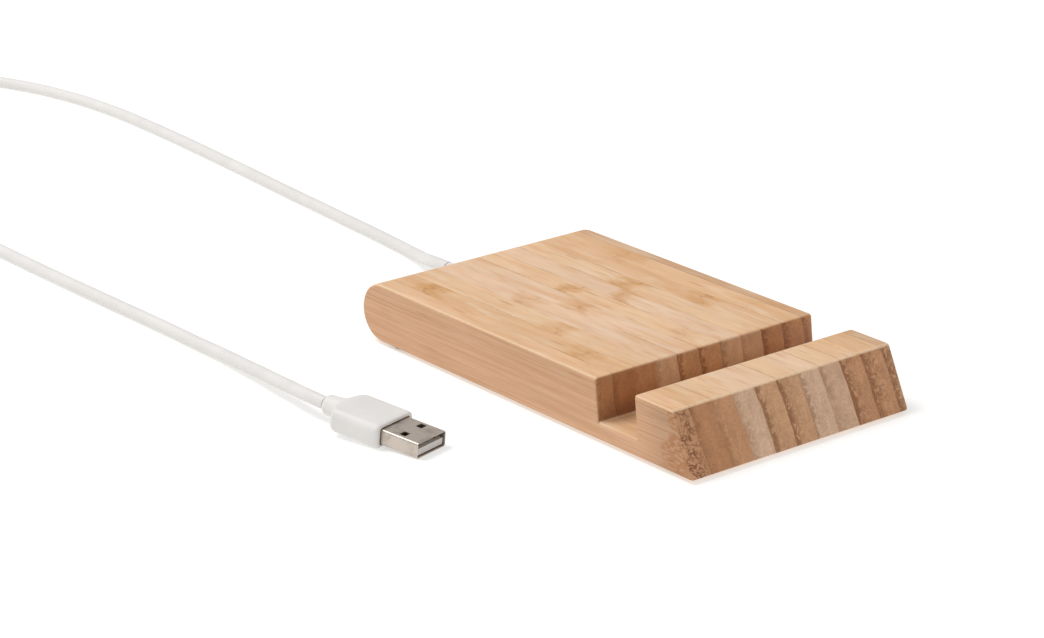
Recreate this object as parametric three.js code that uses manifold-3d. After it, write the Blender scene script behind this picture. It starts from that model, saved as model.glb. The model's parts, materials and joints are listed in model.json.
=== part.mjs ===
// Wireless charging pad: a milled laminated bamboo block with a phone slot, its charging
// electronics in a pocket underneath, and a detachable USB-C to USB-A cable.
// Millimetres, +Z up. The origin is on the table, under the middle of the pad. +Y is the
// rounded back, where the cable leaves, and -Y the slanted front lip.

import * as THREE from 'three';
import { mergeVertices } from 'three/addons/utils/BufferGeometryUtils.js';
import Module from 'manifold-3d';

const wasm = await Module();
wasm.setup();

// ---- Driving dimensions -------------------------------------------------------------

const GAP = 0.3; // clearance left between neighbouring pieces

// Bamboo block
const PAD_WIDTH = 80;
const PAD_LENGTH = 143;
const BLOCK_THICKNESS = 17.3;
const STANDOFF = 1.0; // the feet hold the block this far above the table
const TOP_Z = STANDOFF + BLOCK_THICKNESS;
const MIDDLE_Z = STANDOFF + BLOCK_THICKNESS / 2;
const FRONT_SLANT = 8.4; // how far the front face leans back over its height
const LIP_DEPTH = 15; // flat top of the front lip
const SLOT_WIDTH = 15.4;
const SLOT_DEPTH = 12.3;
const SLOT_LEAN = 1.5; // both slot walls lean back this far over the slot's depth
const SLOT_FLOOR_Z = TOP_Z - SLOT_DEPTH;

// Pocket under the charging surface, and the rebate that takes the bottom cover
const POCKET = { width: 58, length: 76, radius: 10, y: 16, roof: 14.8 };
const REBATE = { width: 70, length: 86, radius: 16, depth: 2.3 };
const CHANNEL = { width: 12.8, height: 7.4, radius: 3.6 }; // tunnel for the cable's plug
const POCKET_BACK_Y = POCKET.y + POCKET.length / 2;
const LEDGE_Z = STANDOFF + REBATE.depth;

// Bottom cover, feet and screws
const COVER = { bottom: 1.2, top: 3.0, rimThickness: 1.6, rimHeight: 1.8 };
const FOOT = { radius: 4, height: 1.5, frontX: 33, frontY: -62, backX: 34.5, backY: 57.5 };
const COVER_SCREW = { head: 1.8, headHeight: 1.1, shank: 1.2, length: 8, x: 32, front: -8, back: 40 };
const BOARD_SCREW = { head: 1.9, headHeight: 1.3, shank: 1.0, length: 5.2, x: 21, front: -13, back: 45 };
const BOSS_RADIUS = 2.6;

// Circuit board
const BOARD = { width: 54, length: 72, radius: 8.5, bottom: 6.05, top: 7.65 };
const CHIP_Z = BOARD.top + GAP;

// Transmitter coil stack, from the roof of the pocket down
const STACK = { x: 0, y: 11 };
const ADHESIVE = { outer: 24, inner: 11, bottom: 14.1, top: 14.5 };
const COIL = { outer: 24.5, inner: 10, bottom: 12.6, top: 13.8 };
const FERRITE = { size: 52, radius: 4, bottom: 11.3, top: 12.3, slot: 2.4 };
const LEAD_RADIUS = 0.45;
const LEAD_X = 3;
const THERMISTOR = { radius: 1.5, height: 1, bottom: 12.7 };
const FOAM = { width: 14, length: 10, x: 14, y: 8 };
const INPUT_CAPACITOR = { radius: 2.5, height: 5.4, edge: 0.3, x: 13, y: 45 };

// USB-C socket in the board's back edge and the plug in it
const SOCKET = { width: 9.2, height: 3.4, wall: 0.3, front: 44.9, mouth: 53.6 };
const PLUG_C = { width: 8.0, height: 2.2, innerWidth: 6.9, innerHeight: 1.3, front: 47.3, back: 57.0 };
const GRIP_C = { width: 11.4, height: 6.2, radius: 3.0, front: 53.95, back: 75.8, bevel: 1.0 };
const RELIEF_C = { front: 76.1, back: 81.7, frontRadius: 2.6, backRadius: 2.1 };

// Cord
const CORD_RADIUS = 1.9;
const CORD_SIDES = 8;
const CORD_STEP = 9.5; // two and a half diameters

// Cord coil and its tie
const CORD_COIL = { x: -50, y: 380, inner: 17.5, outer: 28.1, bottom: 0.9, top: 8.7, corner: 1.8 };
const TIE = { width: 7, thickness: 0.6, angle: 135 };

// USB-A plug, lying on the table with its nose slightly down
const PLUG_A = { x: -78.55, y: -11.23, z: 2.33, yaw: 13.9, pitch: 4.88 };
const SHELL_A = { width: 12, height: 4.5, wall: 0.3, exposed: 12.3, length: 15.7 };
const SHELL_HOLE = { width: 2.4, length: 2.1, x: 3.5, y: 6.5 };
const INSULATOR_A = { width: 10.8, front: 0.6, back: 15.3, bottom: -1.65, top: 0.2 };
const CONTACT_A = { width: 1.0, bottom: 0.35, top: 0.55, back: 9.5 };
const GRIP_A = { width: 15.8, height: 7, neckWidth: 7.2, shoulder: 27.2, back: 31.2, bevel: 1.2 };
const RELIEF_A = { front: 31.5, back: 36.3, frontRadius: 3.4, backRadius: 2.6 };

// Cord routes as centre points, chosen by hand. The first leaves the USB-C plug and
// comes down to the table behind the pad, and the second rises into the USB-A plug.
const ROUTE_FROM_PAD = [
  [0, 82, 9.65], [0.5, 86, 9.4], [1.75, 91, 8.6], [3.5, 96, 7.5], [6, 101, 6], [8.75, 106, 4.5],
  [11.25, 111, 3.25], [13, 117, 2.4], [14.25, 123, 2], [15, 130, 1.9], [16, 141, 1.9],
  [17, 155, 1.9], [18.25, 172, 1.9], [19.5, 190, 1.9], [21.25, 212, 1.9], [23, 236, 1.9],
  [24.75, 262, 1.9], [26, 290, 1.9], [26, 314, 1.9], [23.5, 338, 1.9], [17.5, 361, 1.9],
  [7.5, 382, 1.9], [-6.5, 397.5, 1.9], [-24, 405, 1.9], [-34, 406.5, 1.9],
];
const ROUTE_TO_PLUG = [
  [-76, 364, 4.8], [-76, 356, 4], [-76.5, 342, 2.8], [-77, 328, 2.1], [-78, 312, 1.9],
  [-80, 290, 1.9], [-82, 266, 1.9], [-83.5, 240, 1.9], [-84.25, 215, 1.9], [-84.5, 190, 1.9],
  [-84.25, 165, 1.9], [-83.75, 140, 1.9], [-83.25, 120, 1.9], [-83, 105, 1.9], [-83, 94, 1.9],
  [-83, 84, 2.1], [-83.5, 75, 2.5], [-84.25, 66, 3], [-85, 58, 3.6], [-86, 50, 4.2],
  [-86.75, 42, 4.8], [-87.5, 36, 5.25], [-87.75, 32, 5.5], [-87.75, 28, 5.6], [-87.3, 24.3, 5.4],
];

// ---- Materials ----------------------------------------------------------------------

function finish(color, roughness, metalness = 0) {
  return () => new THREE.MeshStandardMaterial({ color, roughness, metalness });
}

const bamboo = finish(0xe0bd9a, 0.55);
const darkPlastic = finish(0x2a2a2c, 0.6);
const silicone = finish(0x4a4a4c, 0.8);
const zincSteel = finish(0xb4b4b0, 0.35, 1);
const copper = finish(0xb8693c, 0.35, 1);
const ferrite = finish(0x3a3a3e, 0.5);
const whiteFoam = finish(0xe8e6de, 0.9);
const boardGreen = finish(0x1f5a3a, 0.45);
const chipBlack = finish(0x1c1c1e, 0.5);
const ceramicTan = finish(0xb39a72, 0.5);
const capacitorCan = finish(0xc8c8cc, 0.3, 1);
const whiteCable = finish(0xe6e4df, 0.45);
const nickelSteel = finish(0xc9c4ba, 0.25, 1);
const whiteInsulator = finish(0xf0efeb, 0.5);
const goldPlate = finish(0xd0a850, 0.3, 1);

// ---- Geometry helpers ---------------------------------------------------------------

function roundedRectangle(width, height, radius) {
  const x = width / 2 - radius;
  const y = height / 2 - radius;
  const shape = new THREE.Shape();
  shape.absarc(x, -y, radius, -Math.PI / 2, 0, false);
  shape.absarc(x, y, radius, 0, Math.PI / 2, false);
  shape.absarc(-x, y, radius, Math.PI / 2, Math.PI, false);
  shape.absarc(-x, -y, radius, Math.PI, 1.5 * Math.PI, false);
  shape.closePath();
  return shape;
}

function extruded(shape, depth, segments = 6) {
  return new THREE.ExtrudeGeometry(shape, { depth, bevelEnabled: false, curveSegments: segments });
}

// A rounded plate lying flat, between two heights.
function plate(width, length, radius, bottom, top, x = 0, y = 0) {
  const geometry = extruded(roundedRectangle(width, length, radius), top - bottom);
  return geometry.translate(x, y, bottom);
}

function block(width, length, bottom, top, x = 0, y = 0) {
  return new THREE.BoxGeometry(width, length, top - bottom).translate(x, y, (bottom + top) / 2);
}

// An upright round bar between two heights.
function bar(radius, bottom, top, x = 0, y = 0, sides = 24) {
  const geometry = new THREE.CylinderGeometry(radius, radius, top - bottom, sides);
  return geometry.rotateX(Math.PI / 2).translate(x, y, (bottom + top) / 2);
}

// A rounded bar that runs along Y from front to back, with bevelled ends if asked for.
function barAlongY(width, height, radius, front, back, z = 0, bevel = 0) {
  const outline = roundedRectangle(width - 2 * bevel, height - 2 * bevel, Math.max(radius - bevel, 0.2));
  const geometry = new THREE.ExtrudeGeometry(outline, {
    depth: back - front - 2 * bevel,
    bevelEnabled: bevel > 0,
    bevelThickness: bevel,
    bevelSize: bevel,
    bevelSegments: 2,
    curveSegments: 5,
  });
  return geometry.rotateX(Math.PI / 2).translate(0, back - bevel, z);
}

// A solid of revolution about +Z. The profile is a list of [radius, height], going up.
function turned(profile, sides = 24) {
  const points = profile.map(([radius, height]) => new THREE.Vector2(radius, height));
  return new THREE.LatheGeometry(points, sides).rotateX(Math.PI / 2);
}

// The same, about +Y, with heights measured towards the back.
function turnedAlongY(profile, sides = 20) {
  return turned(profile, sides).rotateX(-Math.PI / 2);
}

// A closed mesh with shared corners, and without the slivers that collapse on an axis.
function welded(geometry) {
  const bare = geometry.clone();
  bare.deleteAttribute('normal');
  bare.deleteAttribute('uv');
  const merged = mergeVertices(bare, 1e-4);
  const corner = merged.index.array;
  const kept = [];
  for (let i = 0; i < corner.length; i += 3) {
    const [a, b, c] = [corner[i], corner[i + 1], corner[i + 2]];
    if (a !== b && b !== c && c !== a) kept.push(a, b, c);
  }
  return { vertices: merged.attributes.position.array, triangles: kept };
}

function solid(geometry) {
  const { vertices, triangles } = welded(geometry);
  return new wasm.Manifold(
    new wasm.Mesh({
      numProp: 3,
      vertProperties: new Float32Array(vertices),
      triVerts: new Uint32Array(triangles),
    }),
  );
}

function cut(geometry, ...tools) {
  const result = tools.reduce((body, tool) => body.subtract(solid(tool)), solid(geometry));
  return geometryOf(result);
}

function joined(...pieces) {
  return geometryOf(pieces.map(solid).reduce((body, piece) => body.add(piece)));
}

function geometryOf(manifold) {
  const { vertProperties, triVerts } = manifold.getMesh();
  const geometry = new THREE.BufferGeometry();
  geometry.setAttribute('position', new THREE.BufferAttribute(vertProperties, 3));
  geometry.setIndex(new THREE.BufferAttribute(triVerts, 1));
  geometry.computeVertexNormals();
  return geometry;
}

function piece(name, geometry, material, position = [0, 0, 0]) {
  const mesh = new THREE.Mesh(geometry, material());
  mesh.name = name;
  mesh.position.set(...position);
  return mesh;
}

// The four corners of a rectangle that is centred in X.
function corners({ x, front, back }) {
  return [[-x, front], [x, front], [-x, back], [x, back]];
}

// ---- Bamboo block -------------------------------------------------------------------

const HALF_LENGTH = PAD_LENGTH / 2;
const LIP_FRONT_Y = -HALF_LENGTH + FRONT_SLANT;
const LIP_BACK_Y = LIP_FRONT_Y + LIP_DEPTH;
const SLOT_BACK_Y = LIP_BACK_Y + SLOT_WIDTH;

// The side view: y to the right and z up, with a full half-round at the back.
function blockProfile() {
  const roundRadius = BLOCK_THICKNESS / 2;
  const shape = new THREE.Shape();
  const roundY = HALF_LENGTH - roundRadius;
  shape.moveTo(-HALF_LENGTH, STANDOFF);
  shape.lineTo(roundY, STANDOFF);
  shape.absarc(roundY, MIDDLE_Z, roundRadius, -Math.PI / 2, Math.PI / 2, false);
  shape.lineTo(SLOT_BACK_Y, TOP_Z);
  shape.lineTo(SLOT_BACK_Y - SLOT_LEAN, SLOT_FLOOR_Z);
  shape.lineTo(LIP_BACK_Y - SLOT_LEAN, SLOT_FLOOR_Z);
  shape.lineTo(LIP_BACK_Y, TOP_Z);
  shape.lineTo(LIP_FRONT_Y, TOP_Z);
  shape.closePath();
  return shape;
}

const footPlaces = [
  [-FOOT.frontX, FOOT.frontY], [FOOT.frontX, FOOT.frontY],
  [-FOOT.backX, FOOT.backY], [FOOT.backX, FOOT.backY],
];

function bambooBody() {
  const sideways = new THREE.Matrix4().makeBasis(
    new THREE.Vector3(0, 1, 0),
    new THREE.Vector3(0, 0, 1),
    new THREE.Vector3(1, 0, 0),
  );
  const blank = extruded(blockProfile(), PAD_WIDTH, 14)
    .applyMatrix4(sideways)
    .translate(-PAD_WIDTH / 2, 0, 0);
  const below = STANDOFF - 1;
  const pilotHoles = corners(COVER_SCREW).map(([x, y]) =>
    bar(COVER_SCREW.shank + GAP, LEDGE_Z - 1, COVER_SCREW.length + 2.5, x, y, 16),
  );
  const footRecesses = footPlaces.map(([x, y]) =>
    bar(FOOT.radius + GAP, below, FOOT.height + GAP, x, y, 28),
  );
  const plugChannel = barAlongY(
    CHANNEL.width, CHANNEL.height, CHANNEL.radius, POCKET_BACK_Y - 2, HALF_LENGTH + 2, MIDDLE_Z,
  );
  return cut(
    blank,
    plate(POCKET.width, POCKET.length, POCKET.radius, below, POCKET.roof, 0, POCKET.y),
    plate(REBATE.width, REBATE.length, REBATE.radius, below, LEDGE_Z, 0, POCKET.y),
    plugChannel,
    ...pilotHoles,
    ...footRecesses,
  );
}

// ---- Bottom cover, feet and screws --------------------------------------------------

function bottomCover() {
  const { bottom, top, rimThickness, rimHeight } = COVER;
  const rimWidth = POCKET.width - 2 * GAP;
  const rimLength = POCKET.length - 2 * GAP;
  const sheet = plate(
    REBATE.width - 2 * GAP, REBATE.length - 2 * GAP, REBATE.radius - GAP, bottom, top, 0, POCKET.y,
  );
  const rimTop = top + rimHeight;
  const rim = cut(
    plate(rimWidth, rimLength, POCKET.radius - GAP, top - 0.5, rimTop, 0, POCKET.y),
    plate(
      rimWidth - 2 * rimThickness, rimLength - 2 * rimThickness, POCKET.radius - GAP - rimThickness,
      top - 1, rimTop + 1, 0, POCKET.y,
    ),
  );
  const bossTop = BOARD.bottom - GAP;
  const bosses = corners(BOARD_SCREW).map(([x, y]) => bar(BOSS_RADIUS, top - 0.5, bossTop, x, y, 20));
  const bossHoles = corners(BOARD_SCREW).map(([x, y]) =>
    bar(BOARD_SCREW.shank + GAP, top - 0.8, bossTop + 1, x, y, 16),
  );
  const seat = COVER_SCREW.head + GAP;
  const clearance = COVER_SCREW.shank + GAP;
  const screwHoles = corners(COVER_SCREW).map(([x, y]) =>
    turned([[0, bottom - 0.5], [seat, bottom - 0.5], [seat, bottom + 0.3], [clearance, top - 0.3],
      [clearance, top + 0.5], [0, top + 0.5]], 20).translate(x, y, 0),
  );
  return cut(joined(sheet, rim, ...bosses), ...bossHoles, ...screwHoles);
}

// A cross recess, its mouth at z = 0 and its floor at the given depth.
function crossRecess(reach, depth) {
  const arm = 0.7;
  return joined(block(arm, reach, -1, depth), block(reach, arm, -1, depth));
}

// A countersunk screw, head down: its face is at z = 0 and its shank points up.
function countersunkScrew({ head, headHeight, shank, length }) {
  const rim = 0.25;
  const body = turned(
    [[0, 0], [head, 0], [head, rim], [shank, headHeight],
      [shank, length - 1], [0.3, length], [0, length]],
    20,
  );
  return cut(body, crossRecess(1.3 * head, 0.8));
}

// A pan-head screw, head up: the head's underside is at z = 0 and its shank points down.
function panHeadScrew({ head, headHeight, shank, length }) {
  const body = turned(
    [[0, -length], [0.3, -length], [shank, 0.8 - length], [shank, 0], [head, 0],
      [head, 0.6 * headHeight], [0.75 * head, headHeight], [0, headHeight]],
    20,
  );
  const recess = crossRecess(1.1 * head, 0.8).rotateX(Math.PI).translate(0, 0, headHeight);
  return cut(body, recess);
}

function footGeometry() {
  const { radius, height } = FOOT;
  return turned([[0, 0], [radius - 0.5, 0], [radius, 0.5], [radius, height], [0, height]], 28);
}

// ---- Coil, shield and board ---------------------------------------------------------

function ring({ outer, inner, bottom, top }) {
  const height = top - bottom;
  return turned([[inner, 0], [outer, 0], [outer, height], [inner, height], [inner, 0]], 48).translate(
    STACK.x, STACK.y, bottom,
  );
}

function ferriteShield() {
  const { size, radius, bottom, top, slot } = FERRITE;
  const sheet = plate(size, size, radius, bottom, top, STACK.x, STACK.y);
  const leadSlot = block(slot, size, bottom - 1, top + 1, LEAD_X, STACK.y + size / 2);
  return cut(sheet, leadSlot);
}

function thermistor() {
  const { radius, height, bottom } = THERMISTOR;
  return bar(radius, bottom, bottom + height, 0, 0, 16);
}

function foamSpacer() {
  const { width, length, x, y } = FOAM;
  return block(width, length, CHIP_Z, FERRITE.bottom - GAP, x, y);
}

function inputCapacitor() {
  const { radius, height, edge } = INPUT_CAPACITOR;
  return turned([[0, 0], [radius, 0], [radius, height - edge], [radius - edge, height], [0, height]]);
}

function circuitBoard() {
  const { width, length, radius, bottom, top } = BOARD;
  const holes = corners(BOARD_SCREW).map(([x, y]) =>
    bar(BOARD_SCREW.shank + GAP, bottom - 1, top + 1, x, y, 16),
  );
  return cut(plate(width, length, radius, bottom, top, 0, POCKET.y), ...holes);
}

// A tube of flat sides along a smooth curve through the points.
function tube(points, radius, sides, stepLength) {
  const curve = new THREE.CatmullRomCurve3(
    points.map((point) => new THREE.Vector3(...point)), false, 'centripetal',
  );
  const section = new THREE.Shape();
  for (let side = 0; side < sides; side += 1) {
    const angle = ((side + 0.5) / sides) * 2 * Math.PI;
    const [x, y] = [radius * Math.cos(angle), radius * Math.sin(angle)];
    if (side === 0) section.moveTo(x, y);
    else section.lineTo(x, y);
  }
  section.closePath();
  const steps = Math.ceil(curve.getLength() / stepLength);
  return new THREE.ExtrudeGeometry(section, { steps, bevelEnabled: false, extrudePath: curve });
}

// The outer end of the winding drops straight to the board. The inner end passes
// under the winding, in the shield's slot.
const OUTER_LEAD = [[-3, 36.4, 13.2], [-3, 38.4, 12.9], [-3, 39.6, 11.4], [-3, 40, 9.6], [-3, 40, 8.1]];
const INNER_LEAD = [[3, 18.4, 13.2], [3, 19, 12.4], [3, 20.2, 11.8], [3, 28, 11.8], [3, 36, 11.8],
  [3, 38.6, 11.4], [3, 39.8, 9.8], [3, 40, 8.1]];

// ---- USB-C socket and plug ----------------------------------------------------------

function socketShell() {
  const { width, height, wall, front, mouth } = SOCKET;
  return cut(
    barAlongY(width, height, 1.4, front, mouth, MIDDLE_Z),
    barAlongY(width - 2 * wall, height - 2 * wall, 1.1, front - 1, mouth + 1, MIDDLE_Z),
  );
}

function socketTongue() {
  const { width, height, wall, front } = SOCKET;
  const baseBack = front + 2;
  const margin = 2 * (wall + GAP);
  return joined(
    barAlongY(width - margin, height - margin, 0.8, front + GAP, baseBack, MIDDLE_Z),
    barAlongY(6.2, 0.7, 0.3, baseBack - 0.5, front + 7.5, MIDDLE_Z),
  );
}

function plugShellC() {
  const { width, height, innerWidth, innerHeight, front, back } = PLUG_C;
  return cut(
    barAlongY(width, height, 1.0, front, back, MIDDLE_Z),
    barAlongY(innerWidth, innerHeight, 0.6, front - 1, back - 1.2, MIDDLE_Z),
  );
}

function gripC() {
  const { width, height, radius, front, back, bevel } = GRIP_C;
  const socket = barAlongY(
    PLUG_C.width + 2 * GAP, PLUG_C.height + 2 * GAP, 1.2, front - 1, PLUG_C.back + GAP, MIDDLE_Z,
  );
  return cut(barAlongY(width, height, radius, front, back, MIDDLE_Z, bevel), socket);
}

// A tapered boot with shallow grooves round it, along +Y from y = 0.
function reliefBoot({ front, back, frontRadius, backRadius }, grooves) {
  const length = back - front;
  const radiusAt = (y) => frontRadius + ((backRadius - frontRadius) * y) / length;
  const profile = [[0, 0], [radiusAt(0), 0]];
  const pitch = length / (grooves + 1);
  for (let groove = 1; groove <= grooves; groove += 1) {
    const y = groove * pitch;
    const depth = 0.3;
    profile.push([radiusAt(y), y - 0.35], [radiusAt(y) - depth, y - 0.2]);
    profile.push([radiusAt(y) - depth, y + 0.2], [radiusAt(y), y + 0.35]);
  }
  profile.push([radiusAt(length), length], [0, length]);
  return turnedAlongY(profile);
}

// ---- Cord coil and tie --------------------------------------------------------------

function cordCoil() {
  const { inner, outer, bottom, top, corner } = CORD_COIL;
  const height = top - bottom;
  const profile = [
    [inner + corner, 0], [outer - corner, 0], [outer, corner], [outer, height - corner],
    [outer - corner, height], [inner + corner, height], [inner, height - corner], [inner, corner],
    [inner + corner, 0],
  ];
  return turned(profile, 48);
}

// A strap round the coil's turns, as a rectangular loop seen along the turns.
function cordTie() {
  const { inner, outer, bottom, top } = CORD_COIL;
  const { width, thickness } = TIE;
  const curveAllowance = 0.8; // the turns curve away from a straight strap on their inside
  const left = inner - curveAllowance;
  const right = outer + GAP;
  const low = bottom - GAP;
  const high = top + GAP;
  const middle = [(left + right) / 2, (low + high) / 2];
  const hole = [right - left, high - low];
  const loop = cut(
    barAlongY(hole[0] + 2 * thickness, hole[1] + 2 * thickness, 1.6, -width / 2, width / 2),
    barAlongY(hole[0], hole[1], 1.0, -width / 2 - 1, width / 2 + 1),
  );
  return loop.translate(middle[0], 0, middle[1]).rotateZ(THREE.MathUtils.degToRad(TIE.angle));
}

// ---- USB-A plug, in its own frame: nose at y = 0, the cord towards +Y -----------------

function shellA() {
  const { width, height, wall, length } = SHELL_A;
  const holes = [-1, 1].map((side) =>
    block(SHELL_HOLE.width, SHELL_HOLE.length, -height, height, side * SHELL_HOLE.x, SHELL_HOLE.y),
  );
  return cut(
    barAlongY(width, height, 0.6, 0, length),
    barAlongY(width - 2 * wall, height - 2 * wall, 0.3, -1, length + 1),
    ...holes,
  );
}

// The grip's plan narrows at its shoulders to the neck.
function gripA() {
  const { width, height, neckWidth, shoulder, back, bevel } = GRIP_A;
  const front = SHELL_A.exposed + GAP + bevel;
  const side = width / 2 - bevel;
  const neck = neckWidth / 2 - bevel;
  const end = back - bevel;
  const plan = new THREE.Shape();
  plan.moveTo(-side, front);
  plan.lineTo(side, front);
  plan.lineTo(side, shoulder);
  plan.bezierCurveTo(side, shoulder + 2.4, neck + 1.2, end - 1.6, neck, end);
  plan.lineTo(-neck, end);
  plan.bezierCurveTo(-neck - 1.2, end - 1.6, -side, shoulder + 2.4, -side, shoulder);
  plan.closePath();
  const slab = new THREE.ExtrudeGeometry(plan, {
    depth: height - 2 * bevel,
    bevelEnabled: true,
    bevelThickness: bevel,
    bevelSize: bevel,
    bevelSegments: 3,
    curveSegments: 5,
  }).translate(0, 0, bevel - height / 2);
  const socket = barAlongY(
    SHELL_A.width + 2 * GAP, SHELL_A.height + 2 * GAP, 0.8, front - bevel - 1, SHELL_A.length + GAP,
  );
  return cut(slab, socket);
}

function insulatorA() {
  const { width, front, back, bottom, top } = INSULATOR_A;
  return block(width, back - front, bottom, top, 0, (front + back) / 2);
}

function contactsA() {
  const { width, bottom, top, back } = CONTACT_A;
  const places = [[-3.5, 1.5], [-1.0, 2.5], [1.0, 2.5], [3.5, 1.5]];
  return places.map(([x, front], index) => {
    const strip = block(width, back - front, bottom, top, x, (front + back) / 2);
    return piece(`usb_a_contact_${index + 1}`, strip, goldPlate);
  });
}

// ---- Assembly -----------------------------------------------------------------------

const pad = new THREE.Group();
pad.add(
  piece('bamboo_body', bambooBody(), bamboo),
  piece('bottom_cover', bottomCover(), darkPlastic),
  piece('coil_adhesive', ring(ADHESIVE), whiteFoam),
  piece('transmitter_coil', ring(COIL), copper),
  piece('ferrite_shield', ferriteShield(), ferrite),
  piece('coil_lead_outer', tube(OUTER_LEAD, LEAD_RADIUS, 6, 0.9), copper),
  piece('coil_lead_inner', tube(INNER_LEAD, LEAD_RADIUS, 6, 1.1), copper),
  piece('coil_thermistor', thermistor(), chipBlack, [STACK.x, STACK.y, 0]),
  piece('foam_spacer', foamSpacer(), whiteFoam),
  piece('circuit_board', circuitBoard(), boardGreen),
  piece('usb_c_socket_shell', socketShell(), nickelSteel),
  piece('usb_c_socket_tongue', socketTongue(), chipBlack),
);

corners(COVER_SCREW).forEach(([x, y], index) => {
  const screw = countersunkScrew(COVER_SCREW);
  pad.add(piece(`cover_screw_${index + 1}`, screw, zincSteel, [x, y, COVER.bottom + 0.05]));
});
corners(BOARD_SCREW).forEach(([x, y], index) => {
  pad.add(piece(`board_screw_${index + 1}`, panHeadScrew(BOARD_SCREW), zincSteel, [x, y, CHIP_Z]));
});
footPlaces.forEach(([x, y], index) => {
  pad.add(piece(`foot_${index + 1}`, footGeometry(), silicone, [x, y, 0]));
});

// Board components: name, width, length, height, middle in X and Y, finish
const boardParts = [
  ['controller_chip', 7, 7, 1.0, 0, 4, chipBlack],
  ['bridge_mosfet_1', 5, 6, 1.1, -8, 20, chipBlack],
  ['bridge_mosfet_2', 5, 6, 1.1, 8, 20, chipBlack],
  ['buck_inductor', 6, 6, 3.0, -14, 6, ferrite],
  ['crystal', 3.2, 2.5, 0.8, 0, -6, capacitorCan],
  ['resonant_capacitor_1', 3.2, 2.5, 2.2, -15, 30, ceramicTan],
  ['resonant_capacitor_2', 3.2, 2.5, 2.2, -10, 30, ceramicTan],
  ['resonant_capacitor_3', 3.2, 2.5, 2.2, 10, 30, ceramicTan],
  ['resonant_capacitor_4', 3.2, 2.5, 2.2, 15, 30, ceramicTan],
];
for (const [name, width, length, height, x, y, material] of boardParts) {
  pad.add(piece(name, block(width, length, CHIP_Z, CHIP_Z + height), material, [x, y, 0]));
}
pad.add(
  piece('input_capacitor', inputCapacitor(), capacitorCan, [INPUT_CAPACITOR.x, INPUT_CAPACITOR.y, CHIP_Z]),
);

const cable = new THREE.Group();
cable.add(
  piece('usb_c_plug_shell', plugShellC(), nickelSteel),
  piece('usb_c_plug_grip', gripC(), whiteCable),
  piece('usb_c_strain_relief', reliefBoot(RELIEF_C, 2), whiteCable, [0, RELIEF_C.front, MIDDLE_Z]),
  piece('cord_from_pad', tube(ROUTE_FROM_PAD, CORD_RADIUS, CORD_SIDES, CORD_STEP), whiteCable),
  piece('cord_coil', cordCoil(), whiteCable, [CORD_COIL.x, CORD_COIL.y, CORD_COIL.bottom]),
  piece('cord_tie', cordTie(), darkPlastic, [CORD_COIL.x, CORD_COIL.y, 0]),
  piece('cord_to_plug', tube(ROUTE_TO_PLUG, CORD_RADIUS, CORD_SIDES, CORD_STEP), whiteCable),
);

const plugA = new THREE.Group();
plugA.position.set(PLUG_A.x, PLUG_A.y, PLUG_A.z);
plugA.rotation.set(
  THREE.MathUtils.degToRad(PLUG_A.pitch), 0, THREE.MathUtils.degToRad(PLUG_A.yaw), 'ZXY',
);
plugA.add(
  piece('usb_a_shell', shellA(), nickelSteel),
  piece('usb_a_insulator', insulatorA(), whiteInsulator),
  ...contactsA(),
  piece('usb_a_grip', gripA(), whiteCable),
  piece('usb_a_strain_relief', reliefBoot(RELIEF_A, 0), whiteCable, [0, RELIEF_A.front, 0]),
);
cable.add(plugA);

const chargingPad = new THREE.Group();
chargingPad.name = 'wireless_charging_pad';
chargingPad.add(pad, cable);

export default chargingPad;
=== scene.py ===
# Looks of a wireless charging pad: a laminated bamboo block with a phone slot, and its USB-C to
# USB-A cable. Everything is in metres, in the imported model's frame: +Z up, +Y towards the
# rounded back, and the table at z = 0.

import json
import math

import bmesh
import bpy
from mathutils import Matrix, Vector


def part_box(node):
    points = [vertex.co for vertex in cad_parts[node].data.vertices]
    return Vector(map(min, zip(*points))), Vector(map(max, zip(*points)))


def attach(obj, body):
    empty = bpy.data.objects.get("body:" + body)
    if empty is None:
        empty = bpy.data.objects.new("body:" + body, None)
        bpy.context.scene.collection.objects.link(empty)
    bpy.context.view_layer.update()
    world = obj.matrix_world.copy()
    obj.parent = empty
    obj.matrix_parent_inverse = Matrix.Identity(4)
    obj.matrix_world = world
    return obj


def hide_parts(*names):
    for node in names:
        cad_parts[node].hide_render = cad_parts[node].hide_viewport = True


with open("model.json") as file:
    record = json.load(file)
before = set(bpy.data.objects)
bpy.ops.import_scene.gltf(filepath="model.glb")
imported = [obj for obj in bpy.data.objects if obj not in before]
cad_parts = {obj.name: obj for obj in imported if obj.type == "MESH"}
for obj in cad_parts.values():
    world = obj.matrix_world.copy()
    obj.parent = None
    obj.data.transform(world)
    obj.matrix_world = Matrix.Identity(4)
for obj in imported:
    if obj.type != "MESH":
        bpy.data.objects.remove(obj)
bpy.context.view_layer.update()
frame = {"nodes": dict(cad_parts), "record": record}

NODES = frame["nodes"]
SLOT_OF = {part["node"]: part["material_slot"] for part in frame["record"]["subparts"]}

MM = 0.001

# ---- Sizes that the block's box doesn't give ---------------------------------------------------

BLOCK_LOW, BLOCK_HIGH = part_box("bamboo_body")
MIDDLE_Z = (BLOCK_LOW.z + BLOCK_HIGH.z) / 2
FRONT_SLANT = 8.4 * MM
LIP_DEPTH = 15 * MM
SLOT_WIDTH = 15.4 * MM
SLOT_DEPTH = 12.3 * MM
SLOT_LEAN = 1.5 * MM
EDGE_RADIUS = 0.9 * MM

CORD_RADIUS = 1.9 * MM
CORD_LIFT = 0.05  # in millimetres: keeps the curve off the table where it dips between points

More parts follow.
